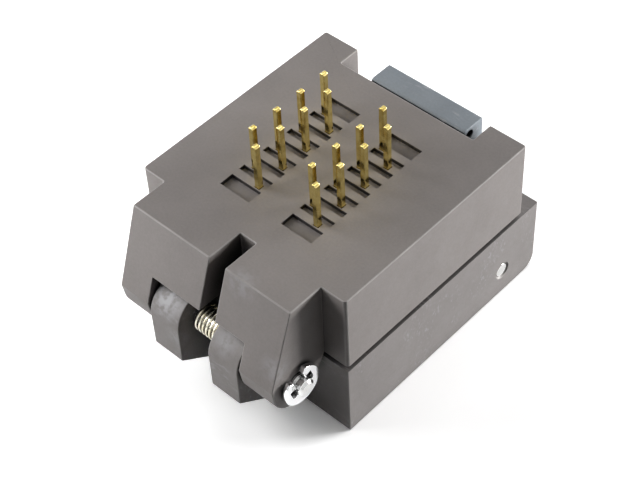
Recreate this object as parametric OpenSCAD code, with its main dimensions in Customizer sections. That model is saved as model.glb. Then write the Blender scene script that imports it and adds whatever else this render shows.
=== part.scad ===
// Hinged-lid test socket for a 16-lead small-outline package with 1.27 mm
// lead pitch. The part lies on its closed lid with the board side up.
// Origin: centre of the solder-tail pattern on the board seating face.
// +Z leaves the seating face along the tails, -Y is the hinge end, +Y the latch end.

/* [Base housing] */
// Width of the base and the lid across the package
body_w = 20.25; // [20:0.05:24]
// Distance from the tail-pattern centre to the hinge-side wall of the base
body_front = 8.65; // [8.5:0.05:9.5]
// Distance from the tail-pattern centre to the latch-side wall of the base
body_rear = 11.55; // [11:0.05:14]
// Height of the base from its seating face to the parting gap
base_h = 7.2; // [7:0.05:8]
// Corner radius at the latch end
corner_r = 0.2; // [0.1:0.05:0.6]
// Corner radius at the hinge end
front_corner_r = 0.25; // [0.1:0.05:0.8]
// How much wider the latch notch is than the latch slot of the lid, each side
notch_extra = 0.675; // [0.45:0.025:1]
// Depth of the notch from the latch-side wall
notch_depth = 2.05; // [2:0.05:2.4]
// Height of the catch ledge below the seating face
ledge_z = 1.9; // [1.5:0.05:2.4]
// Thickness of the catch ledge
ledge_t = 1.5; // [1:0.05:2]
// How far the ledge stands out under the latch nose
ledge_reach = 0.9; // [0.7:0.05:1]

/* [Hinge] */
// Hinge axis beyond the hinge-side wall
hinge_out = 3.02; // [2.9:0.02:3.4]
// Depth of the hinge axis below the seating face
hinge_z = 7.7; // [7.6:0.05:8]
// Outer radius of the base ears about the hinge axis
ear_r = 2.65; // [2.5:0.05:2.75]
// Radius of the lower end of the base ears about the hinge axis
ear_end_r = 2.35; // [2.2:0.05:2.45]
// How far the outer face of an ear stands in from the side of the base
ear_inset = 2.255; // [2:0.005:2.5]
// Width of an ear along the pin
ear_w = 2.97; // [2.7:0.01:3.2]
// How much nearer the middle the right ear and the right knuckle reach than the left ones
right_in = 0.35; // [0:0.01:0.4]
// Length of the level top of the hinge shelf beyond the wall
shelf_out = 3.12; // [3:0.02:3.3]
// Thickness of the shelf over the lid knuckles
shelf_t = 4.5; // [4:0.05:4.7]
// Left side of the spring slot, from the middle
slot_x = 0.02; // [-0.5:0.02:0.6]
// Width of the spring slot
slot_w = 1.57; // [1.4:0.01:2]
// Hinge pin diameter
pin_d = 1.5; // [1.2:0.05:1.7]
// Running clearance on diameter of the hinge pin in the ears
pin_fit = 0.06; // [0.03:0.01:0.1]
// How far the hinge pin stands out of an ear
pin_proud = 1.13; // [0.95:0.01:1.4]
// Retaining clip outer diameter
clip_d = 3.45; // [3.1:0.05:3.8]
// Turn of the retaining clip about the pin, 180 has its mouth straight up
clip_turn = 198; // [0:1:359]
// Retaining clip thickness
clip_t = 0.4; // [0.3:0.05:0.45]
// Gap between an ear and its retaining clip
clip_gap = 0.22; // [0.1:0.02:0.25]
// Groove diameter in the hinge pin
groove_d = 1.1; // [0.9:0.05:1.15]

/* [Hinge spring] */
// Wire diameter of the hinge spring
coil_wire = 0.25; // [0.22:0.01:0.3]
// Mean diameter of the hinge spring coil
coil_d = 2.2; // [2.15:0.05:2.3]
// Coil turns of the hinge spring
coil_turns = 7; // [5:1:7]
// Coil pitch of the hinge spring
coil_pitch = 0.36; // [0.34:0.01:0.37]
// Gap between the left knuckle and the coil
coil_gap = 0.18; // [0.1:0.01:0.2]

/* [Contacts] */
// Lead pitch of the package
pitch = 1.27; // [1.27:0.01:1.27]
// Contacts on each side
per_side = 8; // [8:1:8]
// Distance of the inner tail rows from the middle
tail_in = 2.16; // [2.05:0.01:2.3]
// Distance between the inner and the outer tail row of one side
tail_stagger = 1.53; // [1.4:0.01:1.6]
// Thickness of the contact strip and width of a solder tail
tail_w = 0.46; // [0.4:0.01:0.5]
// Length of the solder tails above the seating face
tail_len = 4.2; // [3:0.1:5]
// Clearance round a contact blade in its slot, each side
blade_gap = 0.04; // [0.02:0.01:0.08]
// Cover of housing over the contact shoulders
cover_t = 1; // [0.8:0.05:1.2]
// Distance of a contact point from the middle
touch_x = 2.75; // [2.6:0.05:2.85]
// How far the contact points stand out of the nest floor
touch_out = 0.3; // [0.2:0.05:0.5]

/* [Tail pockets] */
// Depth of the pockets between the tails
pocket_depth = 0.4; // [0.2:0.05:0.6]
// Distance of a pocket from the middle
pocket_in = 1.58; // [1.4:0.02:1.7]
// Width of a pocket
pocket_w = 3; // [2.7:0.05:3.2]
// Length of a pocket
pocket_len = 12.2; // [11.4:0.1:12.6]
// Width of the ribs that the tails stand in
rib_w = 0.7; // [0.66:0.01:0.8]

/* [Package guide] */
// Width of the package guide
guide_w = 12.8; // [12.4:0.1:13.4]
// Length of the package guide beyond each end of its window
guide_end = 2.25; // [2.2:0.05:2.5]
// Thickness of the package guide
guide_t = 2.2; // [2:0.05:2.4]
// Width of the package window across the lead tips
window_w = 6.3; // [6.2:0.05:6.6]
// Length of the package window
window_len = 10.3; // [10.2:0.05:10.6]
// Width of the lead-in bevel round the window
window_bevel = 0.6; // [0.3:0.05:0.7]
// Gap between the guide and the base round it
guide_gap = 0.05; // [0.02:0.01:0.1]
// Screw shank diameter
screw_d = 1; // [0.8:0.05:1.1]
// Screw head diameter
head_d = 1.7; // [1.5:0.05:1.8]
// Screw head height
head_h = 0.6; // [0.5:0.05:0.7]
// How deep a screw head lies below the surface
head_sink = 0.1; // [0.05:0.01:0.2]
// Length of a screw in the housing
screw_bite = 1.4; // [1.2:0.1:1.8]
// Clearance round a screw in the plate that it holds, on diameter
screw_clear = 0.1; // [0.05:0.01:0.2]

/* [Lid] */
// Gap between the closed base and the lid
parting = 0.55; // [0.3:0.05:0.7]
// Thickness of the lid
lid_h = 7.15; // [7:0.05:8]
// How far the lid runs past the base at the latch end
lid_over = 2.1; // [1.8:0.05:2.6]
// Radius of the outer edge of the lid at the latch end
lid_edge_r = 1.3; // [0.8:0.05:1.5]
// Radius of the lid knuckles about the hinge axis
knuckle_r = 2.55; // [2.4:0.05:2.6]
// Gap between a knuckle and the ear beside it
knuckle_gap = 0.2; // [0.1:0.02:0.3]
// Inner side of the knuckles from the middle
knuckle_in = 1.75; // [1.7:0.05:2]
// Depth of the knuckle front below the hinge axis
knuckle_drop = 3.3; // [3:0.05:3.5]

/* [Pressure pad] */
// Width of the pad face
pad_w = 5.8; // [5.2:0.1:5.9]
// Length of the pad face
pad_len = 9.7; // [9:0.1:9.8]
// How far the pad stands out of the lid
pad_out = 2.35; // [2.2:0.05:2.4]
// Width of a rail of the pad, which presses one row of leads
pad_rail = 1.1; // [0.9:0.05:1.2]
// Depth of the trough between the rails, for the package body
pad_trough = 1.65; // [1.5:0.05:1.9]
// Width of the pad flange
flange_w = 8.4; // [8.2:0.1:8.6]
// Length of the pad flange
flange_len = 11.8; // [11.4:0.1:12]
// Thickness of the pad flange
flange_t = 0.8; // [0.7:0.05:1]
// Pad travel into the lid
pad_travel = 0.8; // [0.5:0.05:0.9]
// Gap over the pad flange at rest
flange_gap = 0.03; // [0.02:0.01:0.05]
// Pad keeper plate thickness
keeper_t = 1.4; // [1.2:0.05:1.6]
// Width of the pad keeper plate
keeper_w = 12.6; // [12.4:0.1:13]
// Length of the pad keeper plate
keeper_len = 13.8; // [13.6:0.1:14]
// Gap between the pad and the keeper window
pad_gap = 0.12; // [0.08:0.01:0.15]
// Outer diameter of the pad springs
pad_spring_d = 1.9; // [1.6:0.05:2]
// Wire diameter of the pad springs
pad_wire = 0.26; // [0.2:0.01:0.3]
// Depth of the spring seats below the pad well
seat_depth = 2; // [1.8:0.05:2.2]

/* [Latch] */
// Room for the latch spring left of the latch bar
spring_room = 2.35; // [2.3:0.05:2.6]
// Gap at the right end of the latch bar
latch_side = 0.3; // [0.2:0.05:0.4]
// Width of the latch bar
latch_w = 9.35; // [9.2:0.05:9.4]
// Thickness of the latch nose along the socket
nose_t = 2.22; // [2.1:0.02:2.3]
// Gap between the latch nose and the notch wall
nose_gap = 0.18; // [0.14:0.01:0.2]
// Gap between the latch nose and the ledge under it
catch_gap = 0.1; // [0.05:0.01:0.15]
// Thickness of the latch stem
stem_t = 1.35; // [1.2:0.05:1.35]
// Latch pin centre above the outer face of the lid
latch_pin_z = 2.54; // [2.5:0.02:2.7]
// Distance of the latch pin centre in from the latch-side wall of the base
latch_pin_in = 2.02; // [1.95:0.01:2.1]
// Latch pin diameter
latch_pin_d = 1.2; // [1:0.05:1.3]
// Running clearance on diameter of the latch on its pin
latch_fit = 0.06; // [0.04:0.01:0.1]
// Radius of the latch boss round its pin
boss_r = 1.6; // [1.5:0.05:1.65]
// Diameter of the small blind hole in the latch end
end_hole_d = 0.75; // [0.5:0.05:0.9]
// Wire diameter of the latch spring
latch_wire = 0.25; // [0.2:0.01:0.28]
// Turns of the latch spring
latch_turns = 5; // [4:1:6]

/* [Hidden] */
$fn = 48;
e = 0.01;                                  // cutting overrun
hw = body_w/2;
ear_half = hw - ear_inset;                 // outer face of an ear
ear_inner = ear_half - ear_w;              // inner face of an ear
pin_len = 2*(ear_half + pin_proud);
slot_half = (latch_w + spring_room + latch_side)/2;  // latch slot of the lid
latch_x = -slot_half + spring_room;        // left end of the latch bar
notch_w = 2*(slot_half + notch_extra);
guide_len = window_len + 2*guide_end;
lid_top = -base_h - parting;
lid_bot = lid_top - lid_h;
hy = -body_front - hinge_out;              // hinge axis
hz = -hinge_z;
shelf_y = -body_front - shelf_out;
notch_y = body_rear - notch_depth;
ledge_y = notch_y + ledge_reach;
tail_out = tail_in + tail_stagger;
span = (per_side - 1)*pitch;
nest_z = -base_h + guide_t;                // nest floor (guide lies under it)
slot_y = blade_gap*2 + tail_w;
// contact rows, counted from the hinge end
function row_y(k) = -span/2 + k*pitch;
// right side: odd rows have the inner tail; left side is the same turned half round
function tail_x(k) = (k % 2 == 0) ? tail_out : tail_in;
bar_lo = 1.7;                              // inner end of a contact shoulder
bar_hi = tail_out + tail_w/2 + 0.15;       // outer end of a contact shoulder
bar_t = 0.7;
leg_w = 0.4;
slot_in = bar_lo - 0.15;
slot_out = bar_hi + 0.1;
guide_sy = window_len/2 + window_bevel + (guide_len/2 - window_len/2 - window_bevel)/2;
keeper_z = lid_top - keeper_t;
flange_z = keeper_z - flange_gap;
well_z = flange_z - flange_t - pad_travel - 0.15;
pad_sx = pad_w/2 + 0.1;
pad_sy = pad_len/2 - 0.35;
seat_d = pad_spring_d + 0.3;
keeper_sx = keeper_w/2 - head_d/2 - 0.3;
keeper_sy = keeper_len/2 - head_d/2 - 0.35;
latch_pin_y = body_rear - latch_pin_in;
latch_z = lid_bot + latch_pin_z;
nose_y = notch_y + nose_gap;
nose_back = nose_y + nose_t;
nose_z = -ledge_z + catch_gap;
slot_front = latch_pin_y - boss_r - 0.28;
lid_rear = body_rear + lid_over;
coil_r = coil_d/2;
coil_x = -knuckle_in + coil_gap + coil_wire/2;  // left end of the coil
groove_x = ear_half + clip_gap;

lid_housing();
pressure_pad();
pad_keeper();
pad_spring_1();
pad_spring_2();
pad_spring_3();
pad_spring_4();
keeper_screw_1();
keeper_screw_2();
keeper_screw_3();
keeper_screw_4();
hinge_pin();
hinge_clip_right();
hinge_clip_left();
hinge_spring();
latch();
latch_pin();
latch_spring();
base_housing();
package_guide();
guide_screw_1();
guide_screw_2();
contact_r1();
contact_r2();
contact_r3();
contact_r4();
contact_r5();
contact_r6();
contact_r7();
contact_r8();
contact_l1();
contact_l2();
contact_l3();
contact_l4();
contact_l5();
contact_l6();
contact_l7();
contact_l8();

// ---- helpers -------------------------------------------------------------

// extrudes a (Y, Z) outline from x0 to x1
module xslab(x0, x1) { translate([x0, 0, 0]) rotate([90, 0, 90]) linear_extrude(x1 - x0) children(); }

// extrudes an (X, Z) outline, centred on y
module yslab(y, t) { translate([0, y + t/2, 0]) rotate([90, 0, 0]) linear_extrude(t) children(); }

// upright block between two heights
module block(w, l, z0, z1, y = 0) { translate([-w/2, y - l/2, z0]) cube([w, l, z1 - z0]); }

// round bar along X
module xrod(d, x0, x1, y, z) { translate([x0, y, z]) rotate([0, 90, 0]) cylinder(d = d, h = x1 - x0); }

// tangent point on a circle seen from a point; side is +1 or -1
function tangent(c, r, p, side) =
  let (v = p - c, a = atan2(v[1], v[0]) + side*acos(r/norm(v))) c + r*[cos(a), sin(a)];

// tube swept along points that lie on a wire's centre line
function ring(p, t, d, n) =
  let (u = t/norm(t), s = abs(u[2]) < 0.9 ? [0, 0, 1] : [1, 0, 0],
       a = cross(u, s)/norm(cross(u, s)), b = cross(u, a))
  [for (i = [0:n-1]) p + d/2*(cos(360*i/n)*a + sin(360*i/n)*b)];
module wire(pts, d, n = 6) {
  m = len(pts);
  t = [for (i = [0:m-1]) pts[min(i + 1, m - 1)] - pts[max(i - 1, 0)]];
  polyhedron(
    points = [for (i = [0:m-1]) each ring(pts[i], t[i], d, n)],
    faces = concat([[for (i = [0:n-1]) i]],
      [for (i = [0:m-2], j = [0:n-1]) [i*n + j, (i + 1)*n + j, (i + 1)*n + (j + 1) % n, i*n + (j + 1) % n]],
      [[for (i = [0:n-1]) (m - 1)*n + n - 1 - i]]));
}

// screw with a slotted pan head, head towards -Z or +Z
module screw(x, y, z, up, len) {
  translate([x, y, z]) rotate([up ? 0 : 180, 0, 0]) difference() {
    union() {
      translate([0, 0, -head_h]) cylinder(d = head_d, h = head_h);
      translate([0, 0, -head_h - len]) cylinder(d = screw_d, h = len + e);
    }
    translate([-head_d, -0.14, -0.25]) cube([2*head_d, 0.28, 1]);
  }
}

// outline of an ear: sloped front, round end about the hinge
module ear_outline() {
  c = [hy, hz]; top = [shelf_y, 0]; back = [-body_front, -base_h];
  brow = tangent(c, ear_r, top, 1);        // edge at the foot of the sloped front
  circle_at(c, ear_end_r);
  polygon([top, brow, tangent(c, ear_end_r, brow, 1), c, tangent(c, ear_end_r, back, -1), back, [-body_front, 0]]);
}
module circle_at(c, r) { translate(c) circle(r = r); }

// ---- base ----------------------------------------------------------------

module base_plan() {
  difference() {
    union() {
      translate([-hw, -body_front]) square([body_w, body_rear + body_front - corner_r]);
      for (s = [-1, 1]) translate([s*(hw - corner_r), body_rear - corner_r]) circle(r = corner_r);
      translate([-hw + corner_r, body_rear - 2*corner_r]) square([body_w - 2*corner_r, 2*corner_r]);
    }
    for (s = [-1, 1]) translate([s*hw, -body_front]) rotate(45)
      square(front_corner_r*1.0, center = true);
    translate([-notch_w/2, notch_y]) square([notch_w, notch_depth + 1]);
    for (s = [-1, 1]) translate([s*notch_w/2, body_rear]) difference() {
      translate([-corner_r/2, -corner_r/2]) square([corner_r, corner_r]);
      translate([s*corner_r/2, -corner_r/2]) circle(r = corner_r/2);
    }
  }
}

module base_housing() {
  color([0.43, 0.40, 0.38]) difference() {
    union() {
      translate([0, 0, -base_h]) linear_extrude(base_h) base_plan();
      for (s = [-1, 1]) xslab(s > 0 ? ear_inner - right_in : -ear_half, s > 0 ? ear_half : -ear_inner) ear_outline();
      difference() {
        xslab(-ear_inner - e, ear_inner + e) difference() {
          ear_outline();
          translate([hy - 10, -shelf_t - 20]) square([hinge_out + 10, 20]);
        }
        translate([slot_x, hy - 10, -base_h - e]) cube([slot_w, hinge_out + 10, base_h + 2*e]);
      }
      // catch ledge inside the notch
      translate([-notch_w/2 - e, notch_y - e, -ledge_z - ledge_t])
        cube([notch_w + 2*e, ledge_reach + e, ledge_t]);
    }
    // hinge bore
    xrod(pin_d + pin_fit, -ear_half - 1, ear_half + 1, hy, hz);
    // pockets between the tail ribs
    for (s = [-1, 1]) difference() {
      translate([s > 0 ? pocket_in : -pocket_in - pocket_w, -pocket_len/2, -pocket_depth])
        cube([pocket_w, pocket_len, 1]);
      for (k = [0:per_side-1]) translate([s > 0 ? 0 : -8, row_y(k) - rib_w/2, -1]) cube([8, rib_w, 1]);
    }
    // contact slots and tail holes
    for (s = [-1, 1], k = [0:per_side-1]) {
      xc = s*tail_x(s > 0 ? k : per_side - 1 - k);
      translate([xc - tail_w/2 - blade_gap, row_y(k) - slot_y/2, -cover_t - e])
        cube([tail_w + 2*blade_gap, slot_y, cover_t + 1]);
      translate([s > 0 ? slot_in : -slot_out, row_y(k) - slot_y/2, -base_h])
        cube([slot_out - slot_in, slot_y, base_h - cover_t]);
    }
    // seat of the package guide
    block(guide_w + 2*guide_gap, guide_len + 2*guide_gap, -base_h - 1, nest_z);
    for (s = [-1, 1]) translate([s*guide_w/4, s*guide_sy, nest_z - 1]) cylinder(d = screw_d, h = 1 + screw_bite + 0.2);
  }
}

module package_guide() {
  color([0.33, 0.31, 0.30]) difference() {
    block(guide_w, guide_len, -base_h, nest_z);
    block(window_w, window_len, -base_h - 1, nest_z + 1);
    // lead-in bevel towards the lid
    intersection() {
      xslab(-hw, hw) bevel_outline(window_len/2);
      yslab(0, body_w) bevel_outline(window_w/2);
    }
    for (s = [-1, 1]) translate([s*guide_w/4, s*guide_sy, 0]) {
      translate([0, 0, -base_h - 1]) cylinder(d = screw_d + screw_clear, h = guide_t + 2);
      translate([0, 0, -base_h - 1]) cylinder(d = head_d + 2*screw_clear, h = 1 + head_h + head_sink);
    }
  }
}
module bevel_outline(h) {
  b = window_bevel; z = -base_h - e;
  polygon([[-h - b, z], [h + b, z], [h - e, z + b*1.6], [-h + e, z + b*1.6]]);
}
module guide_screw(s) { color([0.62, 0.62, 0.60]) screw(s*guide_w/4, s*guide_sy, -base_h + head_sink, false, guide_t - head_h - head_sink + screw_bite); }
module guide_screw_1() guide_screw(1);
module guide_screw_2() guide_screw(-1);

// one stamped contact: solder tail, shoulder in the housing, spring arm to the lead
arm = [[bar_lo + 0.16, -cover_t - bar_t], [bar_lo + 0.16, -cover_t - 1.5], [bar_lo + 0.3, -cover_t - 1.9],
  [bar_lo + 0.65, -cover_t - 2.12], [bar_lo + 1.1, -cover_t - 2.22], [bar_lo + 1.42, -cover_t - 2.42],
  [bar_lo + 1.55, -cover_t - 2.75], [bar_lo + 1.48, -cover_t - 3.12], [bar_lo + 1.28, -cover_t - 3.45],
  [touch_x + 0.08, nest_z + 0.15], [touch_x, nest_z - touch_out]];
arm_w = [0.32, 0.3, 0.3, 0.28, 0.27, 0.26, 0.26, 0.25, 0.25, 0.24, 0.16];
function arm_side(s) = [for (i = [0:len(arm)-1])
  let (t = arm[min(i + 1, len(arm) - 1)] - arm[max(i - 1, 0)], n = [-t[1], t[0]]/norm(t)) arm[i] + s*arm_w[i]/2*n];
module contact_outline(xt) {
  tip = 0.13;
  a = arm_side(1); b = arm_side(-1);
  // up and over the tail with its bevelled tip, down the outer leg, then round the arm
  polygon(concat([[bar_lo, -cover_t], [xt - tail_w/2, -cover_t], [xt - tail_w/2, tail_len - tip],
    [xt - tail_w/2 + tip, tail_len], [xt + tail_w/2 - tip, tail_len], [xt + tail_w/2, tail_len - tip],
    [xt + tail_w/2, -cover_t], [bar_hi, -cover_t], [bar_hi, nest_z], [bar_hi - leg_w, nest_z],
    [bar_hi - leg_w, -cover_t - bar_t]], a, [for (i = [len(b)-1:-1:0]) b[i]]));
}
module contact(side, n) {
  color([0.80, 0.64, 0.26]) rotate([0, 0, side > 0 ? 0 : 180]) yslab(row_y(n - 1), tail_w) contact_outline(tail_x(n - 1));
}
module contact_r1() contact(1, 1);
module contact_r2() contact(1, 2);
module contact_r3() contact(1, 3);
module contact_r4() contact(1, 4);
module contact_r5() contact(1, 5);
module contact_r6() contact(1, 6);
module contact_r7() contact(1, 7);
module contact_r8() contact(1, 8);
module contact_l1() contact(-1, 1);
module contact_l2() contact(-1, 2);
module contact_l3() contact(-1, 3);
module contact_l4() contact(-1, 4);
module contact_l5() contact(-1, 5);
module contact_l6() contact(-1, 6);
module contact_l7() contact(-1, 7);
module contact_l8() contact(-1, 8);

// ---- lid -----------------------------------------------------------------

module lid_outline() {
  difference() {
    union() {
      translate([-body_front, lid_bot]) square([lid_rear + body_front - lid_edge_r, lid_h]);
      translate([-body_front, lid_bot + lid_edge_r]) square([lid_rear + body_front, lid_h - lid_edge_r]);
      circle_at([lid_rear - lid_edge_r, lid_bot + lid_edge_r], lid_edge_r);
    }
  }
}
module knuckle_outline() {
  c = [hy, hz];
  circle_at(c, knuckle_r);
  polygon([c, [hy - knuckle_r, hz], [hy - knuckle_r, hz - knuckle_drop], [-body_front - 0.4, lid_bot],
    [-body_front + 1, lid_bot], [-body_front + 1, lid_top], [-body_front, lid_top],
    tangent(c, knuckle_r, [-body_front, lid_top], 1)]);
}

module lid_housing() {
  color([0.38, 0.35, 0.33]) difference() {
    union() {
      xslab(-hw, hw) lid_outline();
      for (s = [-1, 1]) xslab(s > 0 ? knuckle_in - right_in : -ear_inner + knuckle_gap, s > 0 ? ear_inner - right_in - knuckle_gap : -knuckle_in)
        knuckle_outline();
    }
    // hinge bore
    xrod(pin_d, -ear_half - 1, ear_half + 1, hy, hz);
    // latch slot, open to the rear
    translate([-slot_half, slot_front, lid_bot - 1]) cube([2*slot_half, lid_rear - slot_front + 1, lid_h + 2]);
    // latch pin bore, with a shallow counterbore on each side
    xrod(latch_pin_d, -hw - 1, hw + 1, latch_pin_y, latch_z);
    for (s = [-1, 1]) xrod(latch_pin_d + 0.24, s > 0 ? hw - 0.15 : -hw - 1, s > 0 ? hw + 1 : -hw + 0.15, latch_pin_y, latch_z);
    // keeper seat, pad well and spring seats
    block(keeper_w + 0.1, keeper_len + 0.1, keeper_z, lid_top + 1);
    block(flange_w + 0.3, flange_len + 0.3, well_z, lid_top);
    for (sx = [-1, 1], sy = [-1, 1]) translate([sx*pad_sx, sy*pad_sy, well_z - seat_depth]) cylinder(d = seat_d, h = seat_depth + 1);
    for (sx = [-1, 1], sy = [-1, 1]) translate([sx*keeper_sx, sy*keeper_sy, keeper_z - screw_bite - 0.2])
      cylinder(d = screw_d, h = screw_bite + 1);
    // hole for the fixed leg of the hinge spring
    translate([coil_x - coil_wire, -body_front - e, hz - coil_r - coil_wire/2 - 0.05])
      cube([2*coil_wire, 1.2, coil_wire + 0.1]);
  }
}

module pad_keeper() {
  color([0.33, 0.31, 0.30]) difference() {
    block(keeper_w, keeper_len, keeper_z, lid_top);
    block(pad_w + 2*pad_gap, pad_len + 2*pad_gap, keeper_z - 1, lid_top + 1);
    for (sx = [-1, 1], sy = [-1, 1]) translate([sx*keeper_sx, sy*keeper_sy, 0]) {
      translate([0, 0, keeper_z - 1]) cylinder(d = screw_d + screw_clear, h = keeper_t + 2);
      translate([0, 0, lid_top - head_h - head_sink]) cylinder(d = head_d + 2*screw_clear, h = head_h + 1);
    }
  }
}
module keeper_screw(sx, sy) { color([0.62, 0.62, 0.60]) screw(sx*keeper_sx, sy*keeper_sy, lid_top - head_sink, true, keeper_t - head_h - head_sink + screw_bite); }
module keeper_screw_1() keeper_screw(1, 1);
module keeper_screw_2() keeper_screw(-1, 1);
module keeper_screw_3() keeper_screw(-1, -1);
module keeper_screw_4() keeper_screw(1, -1);

module pressure_pad() {
  color([0.26, 0.25, 0.25]) difference() {
    union() {
      block(pad_w, pad_len, flange_z - e, lid_top + pad_out);
      block(flange_w, flange_len, flange_z - flange_t, flange_z);
    }
    // trough for the package body between the two lead rails
    block(pad_w - 2*pad_rail, pad_len + 1, lid_top + pad_out - pad_trough, lid_top + pad_out + 1);
  }
}
// compression spring between a seat in the lid and the pad flange
module pad_spring(sx, sy) {
  z0 = well_z - seat_depth; z1 = flange_z - flange_t; r = (pad_spring_d - pad_wire)/2;
  turns = 6; n = 14; lead = pad_wire*1.02;
  // closed end turns, open turns between
  function zc(t) = t < 1 ? z0 + pad_wire/2 + t*lead
    : t > turns - 1 ? z1 - pad_wire/2 - (turns - t)*lead
    : z0 + pad_wire/2 + lead + (t - 1)/(turns - 2)*(z1 - z0 - pad_wire - 2*lead);
  color([0.70, 0.70, 0.68]) translate([sx*pad_sx, sy*pad_sy, 0])
    wire([for (i = [0:turns*n]) [r*cos(360*i/n), r*sin(360*i/n), zc(i/n)]], pad_wire);
}
module pad_spring_1() pad_spring(1, 1);
module pad_spring_2() pad_spring(-1, 1);
module pad_spring_3() pad_spring(-1, -1);
module pad_spring_4() pad_spring(1, -1);

// ---- hinge hardware ------------------------------------------------------

module hinge_pin() {
  b = 0.2;
  color([0.75, 0.75, 0.74]) translate([-pin_len/2, hy, hz]) rotate([0, 90, 0]) difference() {
    union() {
      translate([0, 0, b]) cylinder(d = pin_d, h = pin_len - 2*b);
      cylinder(d1 = pin_d - 2*b, d2 = pin_d, h = b + e);
      translate([0, 0, pin_len - b - e]) cylinder(d1 = pin_d, d2 = pin_d - 2*b, h = b + e);
    }
    for (z = [pin_len/2 - groove_x - clip_t, pin_len/2 + groove_x]) translate([0, 0, z]) difference() {
      cylinder(d = pin_d + 1, h = clip_t);
      translate([0, 0, -1]) cylinder(d = groove_d, h = clip_t + 2);
    }
  }
}

// E-shaped clip in the pin groove, mouth towards -Z before it is turned
module clip_outline() {
  difference() {
    circle(d = clip_d);
    circle(d = groove_d);
    translate([-groove_d/2 + 0.06, -clip_d]) square([groove_d - 0.12, clip_d]);
    for (s = [-1, 1]) translate([s*(groove_d/2 + 0.33), 0]) {
      translate([-0.24, -0.6]) square([0.48, 0.75]);
      translate([0, 0.15]) circle(r = 0.24);
    }
    for (s = [-1, 1]) translate([s*groove_d/2, -clip_d/2]) rotate(45) square(0.7, center = true);
  }
}
module hinge_clip(x) { color([0.86, 0.86, 0.86]) xslab(x, x + clip_t) translate([hy, hz]) rotate(clip_turn) clip_outline(); }
module hinge_clip_right() hinge_clip(groove_x);
module hinge_clip_left() hinge_clip(-groove_x - clip_t);

// torsion coil round the hinge pin between the knuckles, one leg to the lid, one to the base
module hinge_spring() {
  n = 14; x0 = coil_x;
  zl = -base_h - coil_wire/2;              // the free leg lies under the base
  ae = asin((zl - hz)/coil_r);
  sweep = 360*coil_turns - 90 - ae; m = round(sweep*n/360); x1 = x0 + coil_pitch*sweep/360;
  helix = [for (i = [0:m]) let (a = -90 - sweep*i/m) [x0 + (x1 - x0)*i/m, hy + coil_r*cos(a), hz + coil_r*sin(a)]];
  color([0.80, 0.79, 0.74]) wire(concat([[x0, -body_front + 0.6, hz - coil_r], [x0, hy + 0.3, hz - coil_r]], helix,
    [[x1 + 0.03, hy + coil_r + 0.25, zl], [x1 + 0.03, -body_front + 1, zl]]), coil_wire, 8);
}

// ---- latch ---------------------------------------------------------------

latch_c = [latch_pin_y, latch_z];
// hooked nose and stem above the pin
module latch_stem() {
  b = 0.12; sf = nose_back - stem_t;
  polygon([[nose_y, -b], [nose_y + b, 0], [nose_back - b, 0], [nose_back, -b],
    [nose_back, lid_top - 1.2], latch_c + [0.75*boss_r, -0.3], latch_c + [-0.375*boss_r, -0.3],
    latch_c + [-0.375*boss_r, 0.55*boss_r], [sf, lid_top - 0.7], [sf, nose_z], [nose_y, nose_z]]);
}
// finger lever below the pin
module latch_lever() {
  polygon([latch_c + [-0.95, 0.4], [latch_pin_y - 0.9, lid_bot + 0.5], [latch_pin_y + 1.1, lid_bot + 0.5], latch_c + [0.9*boss_r, 0.4]]);
}
module latch() {
  color([0.47, 0.51, 0.55]) difference() {
    union() {
      xrod(2*boss_r, latch_x, latch_x + latch_w, latch_pin_y, latch_z);
      xslab(latch_x, latch_x + latch_w) latch_stem();
      xslab(latch_x, latch_x + latch_w) latch_lever();
    }
    xrod(latch_pin_d + latch_fit, latch_x - 1, latch_x + latch_w + 1, latch_pin_y, latch_z);
    // small blind hole in the free end
    xrod(end_hole_d, latch_x + latch_w - 0.8, latch_x + latch_w + 1, nose_y + 0.62, -0.68);
  }
}
module latch_pin() { color([0.75, 0.75, 0.74]) xrod(latch_pin_d, -hw + 0.1, hw - 0.1, latch_pin_y, latch_z); }
// torsion coil on the latch pin between the lid and the latch
module latch_spring() {
  n = 12; r = latch_pin_d/2 + 0.12 + latch_wire/2; x0 = -slot_half + latch_wire/2 + 0.02;
  p = (latch_x - latch_wire/2 - x0)/latch_turns; x1 = x0 + p*latch_turns; zt = latch_z + r;
  helix = [for (i = [0:latch_turns*n]) [x0 + p*i/n, latch_pin_y + r*sin(360*i/n), latch_z + r*cos(360*i/n)]];
  color([0.78, 0.77, 0.73]) wire(concat([[x0, slot_front, zt], [x0, latch_pin_y - 0.3, zt]], helix,
    [[x1, latch_pin_y + 0.3, zt], [x1, latch_pin_y + boss_r*0.7, zt]]), latch_wire, 8);
}
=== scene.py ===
import math

import bmesh
import bpy
from mathutils import Matrix, Vector


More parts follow.
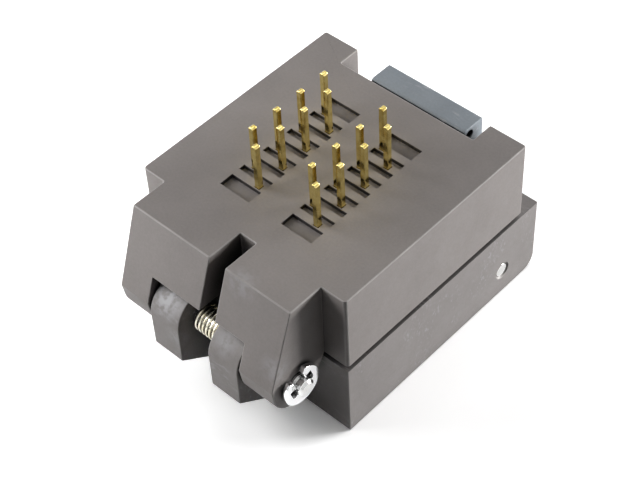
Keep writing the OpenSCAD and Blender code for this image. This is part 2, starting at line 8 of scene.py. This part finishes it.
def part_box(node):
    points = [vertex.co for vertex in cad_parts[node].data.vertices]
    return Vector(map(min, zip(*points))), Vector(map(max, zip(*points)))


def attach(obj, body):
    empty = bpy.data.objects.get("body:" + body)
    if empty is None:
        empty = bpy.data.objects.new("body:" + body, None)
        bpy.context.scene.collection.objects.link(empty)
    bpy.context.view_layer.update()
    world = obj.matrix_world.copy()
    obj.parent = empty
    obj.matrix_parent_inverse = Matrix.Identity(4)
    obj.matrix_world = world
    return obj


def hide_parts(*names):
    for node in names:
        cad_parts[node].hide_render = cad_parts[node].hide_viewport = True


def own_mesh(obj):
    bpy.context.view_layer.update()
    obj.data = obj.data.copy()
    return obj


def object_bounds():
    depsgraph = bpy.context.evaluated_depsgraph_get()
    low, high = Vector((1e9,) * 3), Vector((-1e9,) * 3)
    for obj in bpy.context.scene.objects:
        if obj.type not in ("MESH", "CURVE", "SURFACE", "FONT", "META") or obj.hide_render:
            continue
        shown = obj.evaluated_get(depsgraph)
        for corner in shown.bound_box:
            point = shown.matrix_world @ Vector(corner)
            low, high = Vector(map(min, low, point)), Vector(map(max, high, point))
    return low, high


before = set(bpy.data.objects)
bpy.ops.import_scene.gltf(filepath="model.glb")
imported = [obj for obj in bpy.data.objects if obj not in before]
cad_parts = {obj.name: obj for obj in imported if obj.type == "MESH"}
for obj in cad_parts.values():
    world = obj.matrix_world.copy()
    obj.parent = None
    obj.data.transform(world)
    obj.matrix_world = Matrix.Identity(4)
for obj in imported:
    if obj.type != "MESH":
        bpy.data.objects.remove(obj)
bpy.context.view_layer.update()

# ---- Camera ----------------------------------------------------------------
# A long lens looks down on the hinge end and the right side, with the board
# side up, and is rolled a few degrees.
MM = 0.001  # the pieces' own sizes are in millimetres, and this makes them metres
azimuth, elevation, roll = (math.radians(angle) for angle in (44.988, 47.724, 3.228))
camera_place = [along * MM for along in (59.89, -60.53, 85.66)]


def new_object(name, data):
    """An object in the scene for a camera, a lamp, a curve or a mesh."""
    holder = bpy.data.objects.new(name, data)
    bpy.context.scene.collection.objects.link(holder)
    return holder


back = Vector((
    math.sin(azimuth) * math.cos(elevation),
    -math.cos(azimuth) * math.cos(elevation),
    math.sin(elevation)))
level = Vector((math.cos(azimuth), math.sin(azimuth), 0))
upright = back.cross(level)
camera_x = level * math.cos(roll) - upright * math.sin(roll)
camera_y = level * math.sin(roll) + upright * math.cos(roll)
camera = new_object("camera", bpy.data.cameras.new("camera"))
camera.data.lens = 91.69
camera.data.sensor_width = 36
camera.data.clip_start = 0.01
camera.data.clip_end = 5
camera.matrix_world = Matrix((*zip(camera_x, camera_y, back, camera_place), (0, 0, 0, 1)))
bpy.context.scene.camera = camera

# ---- Floor and light -------------------------------------------------------
# A white table top under the lid, and three soft lamps: left of the camera,
# behind the socket on the right, and overhead. The table throws back less
# light on the socket than it shows, so that hollows stay dark.
table_reach = 1.5
no_yes = (0, 1)
board_shown_and_thrown_back = (1.45, 0.12)
glow_distance, glow_strength = (0.035, 0.16), (0.02, 1.0)
fill_and_backdrop, mirrored_more = (0.02, 1.0), 0.85
white = (1, 1, 1, 1)


def add_node(tree, kind, inputs=None, **settings):
    """A new node; each input is another node's output to link, or a value to set."""
    node = tree.nodes.new(kind)
    for setting, value in settings.items():
        setattr(node, setting, value)
    for socket, value in (inputs or {}).items():
        if isinstance(value, bpy.types.NodeSocket):
            tree.links.new(value, node.inputs[socket])
        else:
            node.inputs[socket].default_value = value
    return node


def spread(tree, value, band, onto):
    """A value with the band between two numbers laid over another pair, and held at its ends."""
    span = add_node(tree, "ShaderNodeMapRange", {
        "Value": value, "From Min": band[0], "From Max": band[1],
        "To Min": onto[0], "To Max": onto[1]})
    return span.outputs["Result"]


def times(tree, a, b):
    return add_node(tree, "ShaderNodeMath", {0: a, 1: b}, operation="MULTIPLY").outputs[0]


def softbox(name, towards, distance, width, height, watts):
    """A soft rectangular lamp that faces the middle of the socket."""
    lamp = bpy.data.lights.new(name, "AREA")
    lamp.shape = "RECTANGLE"
    lamp.size, lamp.size_y = width, height
    lamp.energy = watts
    holder = new_object(name, lamp)
    direction = Vector(towards).normalized()
    holder.location = direction * distance
    holder.rotation_euler = direction.to_track_quat("Z", "Y").to_euler()
    holder.visible_camera = False


floor_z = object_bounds()[0][2]
table = bpy.data.meshes.new("table")
table.from_pydata(
    [(x * table_reach, y * table_reach, floor_z) for x, y in ((-1, -1), (1, -1), (1, 1), (-1, 1))],
    [], [(0, 1, 2, 3)])
table_top = new_object("table_top", table)

white_board = bpy.data.materials.new("white_board")
white_board.use_nodes = True
board = white_board.node_tree
board.nodes.clear()
ray = add_node(board, "ShaderNodeLightPath")
place = add_node(board, "ShaderNodeTexCoord")
# painted light: the table glows for the camera, faintly beside the socket and fully further out
away = add_node(board, "ShaderNodeVectorMath", {0: place.outputs["Object"]}, operation="LENGTH")
painted_floor_glow = spread(board, away.outputs["Value"], glow_distance, glow_strength)
albedo = spread(board, ray.outputs["Is Diffuse Ray"], no_yes, board_shown_and_thrown_back)
matt = add_node(board, "ShaderNodeBsdfDiffuse", {"Color": albedo})
seen = add_node(board, "ShaderNodeEmission", {
    "Color": white, "Strength": times(board, ray.outputs["Is Camera Ray"], painted_floor_glow)})
both = add_node(board, "ShaderNodeAddShader", {0: matt.outputs[0], 1: seen.outputs[0]})
add_node(board, "ShaderNodeOutputMaterial", {"Surface": both.outputs[0]})
table.materials.append(white_board)

world = bpy.data.worlds.new("studio")
bpy.context.scene.world = world
world.use_nodes = True
studio = world.node_tree
studio.nodes.clear()
ray = add_node(studio, "ShaderNodeLightPath")
seen_straight = add_node(studio, "ShaderNodeMath", {
    0: ray.outputs["Is Camera Ray"], 1: ray.outputs["Is Transmission Ray"]}, operation="MAXIMUM")
fill = spread(studio, seen_straight.outputs[0], no_yes, fill_and_backdrop)
mirrored = add_node(studio, "ShaderNodeMath", {
    0: ray.outputs["Is Glossy Ray"], 1: mirrored_more, 2: fill}, operation="MULTIPLY_ADD")
sky = add_node(studio, "ShaderNodeBackground", {"Color": white, "Strength": mirrored.outputs[0]})
add_node(studio, "ShaderNodeOutputWorld", {"Surface": sky.outputs[0]})

softbox("left_softbox", towards=(-0.82, -0.60, 0.38), distance=0.095,
        width=0.07, height=0.07, watts=0.132)
softbox("right_softbox", towards=(0.54, 0.83, 0.13), distance=0.20,
        width=0.10, height=0.05, watts=0.84)
softbox("overhead_softbox", towards=(-0.05, 0.30, 1.0), distance=0.55,
        width=0.30, height=0.30, watts=0.53)
bpy.context.scene.view_settings.view_transform = "Standard"

# ---- Base housing ----------------------------------------------------------
# The moulded part that is soldered to the board, in taupe high-temperature
# plastic with glass fill. It comes out of a polished mould with small radii
# on its outer edges, and carries the ears, the shelf and the tail ribs.
base_radius, moulding_taupe, highlit_and_worn_taupe = 0.09, (0.226, 0.207, 0.199), (0.30, 0.283, 0.272)
joint_face_z, ear_root_y, well_half_x, base_well_half_y = -7.15, -8.7, 6.55, 7.6


def noise(tree, vector, waves, detail):
    """A cloudy pattern with so many waves to the metre."""
    field = add_node(tree, "ShaderNodeTexNoise", {
        "Vector": vector, "Scale": waves, "Detail": detail})
    return field.outputs["Fac"]


def mixed_colour(tree, factor, first, second):
    mix = add_node(tree, "ShaderNodeMix", {
        "Factor": factor, "A": first, "B": second}, data_type="RGBA")
    return mix.outputs["Result"]


def relief(tree, height, strength, depth):
    bump = add_node(tree, "ShaderNodeBump", {
        "Height": height, "Strength": strength, "Distance": depth})
    return bump.outputs["Normal"]


def pocket_shade(tree, coordinates, painted_hollow_shade):
    """Painted shade for the shallow pockets between the ribs: light floors and dark walls, in
    place of the hollow shade there.
    """
    pocket_field = {"X": 4.65 * MM, "Y": 6.15 * MM}
    field_edge, field_bottom = 0.1 * MM, (-0.6 * MM, -0.5 * MM)
    floor_to_wall, floor_and_wall_shade = (-0.39 * MM, -0.37 * MM), (0.95, 0.08)
    wall_to_face, wall_and_face_shade = (-0.10 * MM, -0.03 * MM), (0, 1)
    axes = add_node(tree, "ShaderNodeSeparateXYZ", {0: coordinates})
    inside = spread(tree, axes.outputs["Z"], field_bottom, (0, 1))
    for axis, half_size in pocket_field.items():
        away = add_node(tree, "ShaderNodeMath", {0: axes.outputs[axis]}, operation="ABSOLUTE")
        within = spread(tree, away.outputs[0], (half_size, half_size + field_edge), (1, 0))
        inside = times(tree, inside, within)
    # painted shade: the pocket walls are darkened by height, and the floors are kept nearly
    # unshaded
    pocket = add_node(tree, "ShaderNodeMath", {
        0: spread(tree, axes.outputs["Z"], floor_to_wall, floor_and_wall_shade),
        1: spread(tree, axes.outputs["Z"], wall_to_face, wall_and_face_shade)},
        operation="MAXIMUM")
    either = add_node(tree, "ShaderNodeMix", {
        "Factor": inside, "A": painted_hollow_shade, "B": pocket.outputs[0]})
    return either.outputs["Result"]


def moulded_plastic(name, colour, cloud=0.05, roughness=0.5, grain=0.25, scuffs=0.0,
                    highlit_and_rubbed_spots=(), paint_pocket_shade=False):
    """Clouded and flecked plastic with painted shade in its hollows and a fine grain.

    Scuffs is the strength of short rubbed streaks. A spot is a middle, a radius and a
    strength, in millimetres: a pale patch, partly painted highlight and partly rubbed wear.
    """
    # each pattern's waves to the metre and fineness, and the band of it that is used
    clouds, cloud_band = (260, 3), (0.3, 0.7)
    flecks, fleck_band, fleck = (5200, 2), (0.25, 0.75), 0.05
    duller, dull_band, gloss_spread = (900, 3), (0.3, 0.7), (-0.05, 0.07)
    streaks, streak_band = (2600, 4), (0.55, 0.68)
    scuffed, scuffed_band = (330, 2), (0.48, 0.62)
    ragged, ragged_band, spot_least_share = (1900, 4), (0.36, 0.56), 0.15
    bumps, bump_depth = (7000, 3), 0.012 * MM
    hollow_reach, hollow_band, hollow_shade = 5 * MM, (0.16, 0.58), (0.03, 1.0)
    streak_turn, streak_stretch = (0.3, 0.2, 0.5), (0.35, 1.6, 1.0)
    rubbed_and_highlit_colour, spot_core = (0.45, 0.45, 0.47, 1), 0.2

    material = bpy.data.materials.new(name)
    material.use_nodes = True
    tree = material.node_tree
    shader = tree.nodes["Principled BSDF"]
    shader.inputs["IOR"].default_value = 1.5
    shader.inputs["Specular IOR Level"].default_value = 0.28
    coordinates = add_node(tree, "ShaderNodeTexCoord").outputs["Object"]

    # slow clouding of the melt, fine flecks of the glass fill, and painted shade that darkens
    # hollows and gaps
    clouding = spread(
        tree, noise(tree, coordinates, *clouds), cloud_band, (1 - cloud, 1 + cloud))
    flecking = spread(
        tree, noise(tree, coordinates, *flecks), fleck_band, (1 - fleck, 1 + fleck))
    # painted shade: an occlusion node darkens the colour wherever nearby parts block the light
    hollow = add_node(tree, "ShaderNodeAmbientOcclusion", {"Distance": hollow_reach}, samples=12)
    painted_hollow_shade = spread(tree, hollow.outputs["AO"], hollow_band, hollow_shade)
    if paint_pocket_shade:
        painted_hollow_shade = pocket_shade(tree, coordinates, painted_hollow_shade)
    shade = times(tree, times(tree, clouding, flecking), painted_hollow_shade)
    tint = add_node(tree, "ShaderNodeVectorMath", {0: colour, "Scale": shade}, operation="SCALE")
    surface_colour = tint.outputs["Vector"]

    if scuffs:
        turned = add_node(tree, "ShaderNodeMapping", {
            "Vector": coordinates, "Rotation": streak_turn, "Scale": streak_stretch})
        streaked = spread(
            tree, noise(tree, turned.outputs["Vector"], *streaks), streak_band, (0, 1))
        in_patches = spread(
            tree, noise(tree, coordinates, *scuffed), scuffed_band, (0, scuffs))
        surface_colour = mixed_colour(
            tree, times(tree, streaked, in_patches), surface_colour, rubbed_and_highlit_colour)
    # pale spots: painted highlight where light falls on curved faces, partly rubbed wear too
    for spot, radius, strength in highlit_and_rubbed_spots:
        distance = add_node(tree, "ShaderNodeVectorMath", {
            0: coordinates, 1: Vector(spot) * MM}, operation="DISTANCE")
        patch = spread(
            tree, distance.outputs["Value"], (spot_core * radius * MM, radius * MM),
            (strength, 0))
        broken = spread(
            tree, noise(tree, coordinates, *ragged), ragged_band, (spot_least_share, 1))
        surface_colour = mixed_colour(
            tree, times(tree, patch, broken), surface_colour, rubbed_and_highlit_colour)
    tree.links.new(surface_colour, shader.inputs["Base Color"])

    dullness = spread(
        tree, noise(tree, coordinates, *duller), dull_band,
        [roughness + more for more in gloss_spread])
    tree.links.new(dullness, shader.inputs["Roughness"])
    normal = relief(tree, noise(tree, coordinates, *bumps), grain, bump_depth)
    tree.links.new(normal, shader.inputs["Normal"])
    return material


def baked(piece):
    """The plain mesh that a piece's modifiers or its curve come to."""
    bpy.context.view_layer.update()
    return bpy.data.meshes.new_from_object(
        piece.evaluated_get(bpy.context.evaluated_depsgraph_get()))


def rounded_copy(name, source, radius, material, keep_sharp=None, segments=2, edge_material=None):
    """A copy of a CAD solid whose sharp edges get a small moulded or tumbled radius."""
    weld, flat, crease = 0.0005 * MM, math.radians(1.0), math.radians(30)
    form = bmesh.new()
    form.from_mesh(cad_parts[source].data)
    bmesh.ops.remove_doubles(form, verts=form.verts, dist=weld)
    bmesh.ops.dissolve_limit(form, angle_limit=flat, verts=form.verts, edges=form.edges)
    weight = form.edges.layers.float.new("bevel_weight_edge")
    for edge in form.edges:
        if len(edge.link_faces) == 2 and edge.calc_face_angle() > crease:
            sharp = keep_sharp and all(keep_sharp(corner.co / MM) for corner in edge.verts)
            edge[weight] = 0.0 if sharp else 1.0
            edge.smooth = not sharp
    mesh = bpy.data.meshes.new(name)
    form.to_mesh(mesh)
    form.free()
    mesh.materials.append(material)
    if edge_material:
        mesh.materials.append(edge_material)
    for polygon in mesh.polygons:
        polygon.use_smooth = True
    piece = new_object(name, mesh)
    bevel = piece.modifiers.new("edges", "BEVEL")
    bevel.limit_method = "WEIGHT"
    bevel.width = radius * MM
    bevel.segments = segments
    bevel.material = 1 if edge_material else -1
    bevel.use_clamp_overlap = False
    bevel.miter_outer = "MITER_ARC"
    solid = baked(piece)
    piece.modifiers.clear()
    piece.data = solid

    # broad faces stay flat to their edges, and the small radii turn from one to the next
    radius_width = 1.3 * radius * MM
    turn_on_radius, turn_on_broad = math.cos(math.radians(60)), math.cos(math.radians(20))
    around = [[] for vertex in solid.vertices]
    for polygon in solid.polygons:
        for vertex in polygon.vertices:
            around[vertex].append(polygon)
    corner_normals = []
    for polygon in solid.polygons:
        corners = [solid.vertices[vertex].co for vertex in polygon.vertices]
        longest = max((a - b).length for a, b in zip(corners, corners[1:] + corners[:1]))
        turn = turn_on_radius if polygon.area < radius_width * longest else turn_on_broad
        for vertex in polygon.vertices:
            blend = Vector()
            for other in around[vertex]:
                if other.normal.dot(polygon.normal) > turn:
                    blend += other.normal * other.area
            corner_normals.append((blend if blend.length > 0 else polygon.normal).normalized())
    solid.normals_split_custom_set(corner_normals)
    return piece


def sharp_on_base(corner):
    """The joint face behind the ears and the inside of the base's well have no radius."""
    on_joint_face = corner.z < joint_face_z and corner.y > ear_root_y
    return on_joint_face or abs(corner.x) < well_half_x and abs(corner.y) < base_well_half_y


# Pale spots above the hinge and on the right ear's side are painted highlight, partly wear;
# hollows and pocket walls get painted shade.
housing_plastic = moulded_plastic(
    "housing_plastic", moulding_taupe, paint_pocket_shade=True,
    highlit_and_rubbed_spots=[((3.2, -12.0, -0.3), 1.6, 0.3), ((7.6, -13.4, -5.0), 1.5, 0.3)])
# Every rounded edge gets a lighter, glossier plastic: painted edge highlight, with some wear.
worn_edge = moulded_plastic("worn_edge", highlit_and_worn_taupe, cloud=0.16, roughness=0.42, grain=0.1)
base = rounded_copy("base_shell", "base_housing", base_radius, housing_plastic,
                    keep_sharp=sharp_on_base, edge_material=worn_edge)
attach(base, "base")
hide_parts("base_housing")

# ---- Nest plate and screws -------------------------------------------------
# A dark moulded plate screwed into the base from the lid side. Its bevelled
# window centres the package over the contact points. All six screws of the
# socket, the pad keeper's four too, are plain turned steel.
nest_radius, screw_radius = 0.06, 0.05
inner_plastic = moulded_plastic("inner_plastic", (0.100, 0.093, 0.088), roughness=0.55)
nest = rounded_copy("nest_plate", "package_guide", nest_radius, inner_plastic)
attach(nest, "base")
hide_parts("package_guide")


def drawn_metal(name, colour, roughness, brush=0.0, tarnish=None):
    """Metal with faint duller patches, and with fine drawing lines where brush is set."""
    patches, patch_band, dulled = (1500, 3), (0.42, 0.75), 0.8
    lines, line_depth = (9000, 2), 0.003 * MM
    smoothest, roughest = roughness * 0.8, roughness * 1.3
    second_colour = tarnish or [part * dulled for part in colour]

    material = bpy.data.materials.new(name)
    material.use_nodes = True
    tree = material.node_tree
    shader = tree.nodes["Principled BSDF"]
    shader.inputs["Metallic"].default_value = 1.0
    coordinates = add_node(tree, "ShaderNodeTexCoord").outputs["Object"]
    patchy = noise(tree, coordinates, *patches)
    surface_colour = mixed_colour(
        tree, spread(tree, patchy, patch_band, (0, 1)), (*colour, 1), (*second_colour, 1))
    tree.links.new(surface_colour, shader.inputs["Base Color"])
    dullness = spread(tree, patchy, (0, 1), (smoothest, roughest))
    tree.links.new(dullness, shader.inputs["Roughness"])
    if brush:
        normal = relief(tree, noise(tree, coordinates, *lines), brush, line_depth)
        tree.links.new(normal, shader.inputs["Normal"])
    return material


screw_steel = drawn_metal("screw_steel", (0.56, 0.56, 0.55), roughness=0.3, brush=0.2)
guide_screws = [f"guide_screw_{number}" for number in range(1, 3)]
keeper_screws = [f"keeper_screw_{number}" for number in range(1, 5)]
for screw in guide_screws + keeper_screws:
    finished = rounded_copy(screw + "_finished", screw, screw_radius, screw_steel)
    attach(finished, "base" if screw in guide_screws else "lid")
    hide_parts(screw)

# ---- Contacts --------------------------------------------------------------
# Sixteen stamped strips of gold-plated copper alloy, each with a solder tail,
# a shoulder locked in the housing and a sprung arm. Odd rows have the outer
# tail, even rows the inner one, and the left side is the right turned round.
strip_radius, rows_of_each_kind, tail_pitch = 0.055, 4, 1.27
gold = drawn_metal(
    "gold_plate", (0.88, 0.72, 0.27), roughness=0.13, brush=0.2, tarnish=(0.58, 0.42, 0.11))
outer_pattern, inner_pattern = [
    rounded_copy(strip + "_pattern", strip, strip_radius, gold, segments=3)
    for strip in ("contact_r1", "contact_r2")]

contact_rows = bpy.data.node_groups.new("contact_rows", "GeometryNodeTree")
contact_rows.interface.new_socket(
    "Geometry", in_out="OUTPUT", socket_type="NodeSocketGeometry")
for socket, kind in (
        ("Rows of each kind", "NodeSocketInt"),
        ("Pitch", "NodeSocketFloat"),
        ("Outer strip", "NodeSocketObject"),
        ("Inner strip", "NodeSocketObject"),
        ("Finish", "NodeSocketMaterial")):
    contact_rows.interface.new_socket(socket, in_out="INPUT", socket_type=kind)
given = add_node(contact_rows, "NodeGroupInput")
two_rows = add_node(contact_rows, "ShaderNodeMath", {
    0: given.outputs["Pitch"], 1: 2}, operation="MULTIPLY")
step = add_node(contact_rows, "ShaderNodeCombineXYZ", {"Y": two_rows.outputs[0]})
side = add_node(contact_rows, "GeometryNodeJoinGeometry")
for strip in ("Inner strip", "Outer strip"):
    row = add_node(contact_rows, "GeometryNodeMeshLine", {
        "Count": given.outputs["Rows of each kind"], "Offset": step.outputs[0]})
    source = add_node(contact_rows, "GeometryNodeObjectInfo", {"Object": given.outputs[strip]})
    placed = add_node(contact_rows, "GeometryNodeInstanceOnPoints", {
        "Points": row.outputs["Mesh"], "Instance": source.outputs["Geometry"]})
    contact_rows.links.new(placed.outputs["Instances"], side.inputs["Geometry"])
turned = add_node(contact_rows, "GeometryNodeTransform", {
    "Geometry": side.outputs[0], "Rotation": (0, 0, math.pi)})
whole = add_node(contact_rows, "GeometryNodeJoinGeometry")
for half in (side, turned):
    contact_rows.links.new(half.outputs[0], whole.inputs["Geometry"])
real = add_node(contact_rows, "GeometryNodeRealizeInstances", {"Geometry": whole.outputs[0]})
coat = add_node(contact_rows, "GeometryNodeSetMaterial", {
    "Geometry": real.outputs[0], "Material": given.outputs["Finish"]})
add_node(contact_rows, "NodeGroupOutput", {"Geometry": coat.outputs[0]})


def grown(name, tree, **values):
    """Runs a Geometry Nodes tree on an empty mesh and keeps the result as a plain mesh."""
    piece = new_object(name, bpy.data.meshes.new(name))
    modifier = piece.modifiers.new("tree", "NODES")
    modifier.node_group = tree
    for item in tree.interface.items_tree:
        if item.in_out == "INPUT":
            modifier[item.identifier] = values[item.name.replace(" ", "_")]
    mesh = baked(piece)
    piece.modifiers.clear()
    piece.data = mesh
    mesh.name = name
    return piece


contacts = grown(
    "contact_strips", contact_rows, Rows_of_each_kind=rows_of_each_kind, Pitch=tail_pitch * MM,
    Outer_strip=outer_pattern, Inner_strip=inner_pattern, Finish=gold)
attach(contacts, "base")
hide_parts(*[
    f"contact_{side_name}{number}" for side_name in "rl" for number in range(1, 9)])
for pattern in (outer_pattern, inner_pattern):
    bpy.data.objects.remove(pattern)

# ---- Lid housing -----------------------------------------------------------
# The clamshell's other half, in the same taupe plastic, with the two hinge
# knuckles in front and the open latch slot behind. It rests on its outer face.
lid_radius, lid_taupe = 0.09, (0.222, 0.206, 0.200)
lid_joint_face_z, lid_well_half_y, lid_well_floor_z = -7.8, 7.3, -13.5


def sharp_on_lid(corner):
    """The joint face and the inside of the lid's well have no radius."""
    on_joint_face = corner.z > lid_joint_face_z and corner.y > ear_root_y
    in_well = abs(corner.x) < well_half_x and abs(corner.y) < lid_well_half_y
    return on_joint_face or in_well and corner.z > lid_well_floor_z


# Pale spots on the hinge knuckles are painted highlight, partly wear, and the rounded edges get
# the painted edge highlight too.
lid_plastic = moulded_plastic(
    "lid_plastic", lid_taupe, scuffs=0.3,
    highlit_and_rubbed_spots=[
        ((-3.5, -13.3, -5.9), 2.0, 0.75),
        ((2.6, -13.4, -6.0), 1.4, 0.35),
        ((-2.2, -14.0, -8.6), 1.2, 0.3)])
lid = rounded_copy("lid_shell", "lid_housing", lid_radius, lid_plastic,
                   keep_sharp=sharp_on_lid, edge_material=worn_edge)
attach(lid, "lid")
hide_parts("lid_housing")

# ---- Pad and keeper --------------------------------------------------------
# The black pad presses the package leads down, and a dark plate with four
# screws keeps it in the lid.
pad_radius, keeper_radius = 0.08, 0.06
pad_plastic = moulded_plastic("pad_plastic", (0.050, 0.049, 0.050), roughness=0.6)
pad = rounded_copy("pad_finished", "pressure_pad", pad_radius, pad_plastic)
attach(pad, "pad")
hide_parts("pressure_pad")
keeper = rounded_copy("keeper_finished", "pad_keeper", keeper_radius, inner_plastic)
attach(keeper, "lid")
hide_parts("pad_keeper")

# ---- Hinge pin, latch pin and clips ----------------------------------------
# Ground stainless pins with small chamfers, and stamped E-shaped clips with a
# bright plated finish, which snap into grooves in the hinge pin.
pin_radius, clip_radius = 0.03, 0.045
bright_pin = drawn_metal("bright_pin", (0.74, 0.74, 0.73), roughness=0.14)
for pin in ("hinge_pin", "latch_pin"):
    finished = rounded_copy(pin + "_finished", pin, pin_radius, bright_pin)
    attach(finished, "lid")
    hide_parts(pin)
plated_clip = drawn_metal("plated_clip", (0.88, 0.88, 0.89), roughness=0.10)
for clip in ("hinge_clip_right", "hinge_clip_left"):
    finished = rounded_copy(clip + "_finished", clip, clip_radius, plated_clip)
    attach(finished, "lid")
    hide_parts(clip)

# ---- Springs ---------------------------------------------------------------
# Round spring wire. The hinge coil shows between the knuckles, with one leg in
# the lid and one under the base; the latch coil sits left of the latch, and
# four closed-end coils push the pad.
hinge_y, hinge_z, wall_y, base_underside_z = -11.67, -7.7, -8.65, -7.2
hinge_wire, coil_radius, hinge_turns, coil_pitch, first_x = 0.25, 1.1, 7, 0.36, -1.445
start_angle, point_angle = -90, 7.5
lid_leg_past_wall, lid_leg_start = 0.6, 0.3
base_leg_past_wall, base_leg_start, base_leg_aside = 1.0, 0.25, 0.03
pad_wire, pad_turns, points_per_turn, closed_turn_lead, pad_travel = 0.26, 6, 32, 1.02, 0.8
spring_wire = drawn_metal(
    "spring_wire", (0.80, 0.77, 0.66), roughness=0.16, tarnish=(0.60, 0.54, 0.36))


def wire_piece(name, points, diameter):
    """Round wire with closed ends along points in millimetres."""
    path = bpy.data.curves.new(name, "CURVE")
    path.dimensions = "3D"
    path.bevel_depth = diameter / 2 * MM
    path.bevel_resolution = 3
    path.use_fill_caps = True
    spline = path.splines.new("POLY")
    spline.points.add(len(points) - 1)
    for knot, point in zip(spline.points, points):
        knot.co = (*(Vector(point) * MM), 1)
    curve = new_object(name, path)
    mesh = baked(curve)
    bpy.data.objects.remove(curve)
    for polygon in mesh.polygons:
        polygon.use_smooth = True
    mesh.materials.clear()
    mesh.materials.append(spring_wire)
    return new_object(name, mesh)


base_leg_z = base_underside_z - hinge_wire / 2
end_angle = math.degrees(math.asin((base_leg_z - hinge_z) / coil_radius))
sweep = 360 * hinge_turns + start_angle - end_angle
last_x = first_x + coil_pitch * sweep / 360
count = int(sweep / point_angle)
coil = []
for i in range(count + 1):
    angle = math.radians(start_angle - sweep * i / count)
    coil.append((
        first_x + (last_x - first_x) * i / count,
        hinge_y + coil_radius * math.cos(angle),
        hinge_z + coil_radius * math.sin(angle)))
lid_leg = [
    (first_x, wall_y + lid_leg_past_wall, hinge_z - coil_radius),
    (first_x, hinge_y + lid_leg_start, hinge_z - coil_radius)]
base_leg = [
    (last_x + base_leg_aside, hinge_y + coil_radius + base_leg_start, base_leg_z),
    (last_x + base_leg_aside, wall_y + base_leg_past_wall, base_leg_z)]
hinge_coil = wire_piece("hinge_coil", lid_leg + coil + base_leg, hinge_wire)
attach(hinge_coil, "lid")
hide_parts("hinge_spring")

latch_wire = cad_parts["latch_spring"].data
latch_wire.materials.clear()
latch_wire.materials.append(spring_wire)

for number in range(1, 5):
    low, high = [Vector(corner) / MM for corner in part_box(f"pad_spring_{number}")]
    middle = (low + high) / 2
    helix_radius = (high.x - low.x - pad_wire) / 2
    lead = pad_wire * closed_turn_lead
    open_height = high.z - low.z - pad_wire - 2 * lead
    coil = []
    for i in range(pad_turns * points_per_turn + 1):
        turn = i / points_per_turn
        if turn < 1:
            height = low.z + pad_wire / 2 + turn * lead
        elif turn > pad_turns - 1:
            height = high.z - pad_wire / 2 - (pad_turns - turn) * lead
        else:
            height = low.z + pad_wire / 2 + lead + (turn - 1) / (pad_turns - 2) * open_height
        coil.append((
            middle.x + helix_radius * math.cos(turn * math.tau),
            middle.y + helix_radius * math.sin(turn * math.tau),
            height))
    pad_coil = wire_piece(f"pad_coil_{number}", coil, pad_wire)
    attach(pad_coil, "lid")
    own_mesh(pad_coil)
    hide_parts(f"pad_spring_{number}")

# ---- Latch -----------------------------------------------------------------
# A moulded blue-grey bar with a hooked nose, scuffed with streaks in scattered
# patches, and a small round hole in its end.
latch_radius = 0.08
latch_plastic = moulded_plastic(
    "latch_plastic", (0.228, 0.254, 0.280), cloud=0.08, roughness=0.42, scuffs=0.45)
latch = rounded_copy("latch_bar", "latch", latch_radius, latch_plastic)
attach(latch, "latch")
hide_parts("latch")
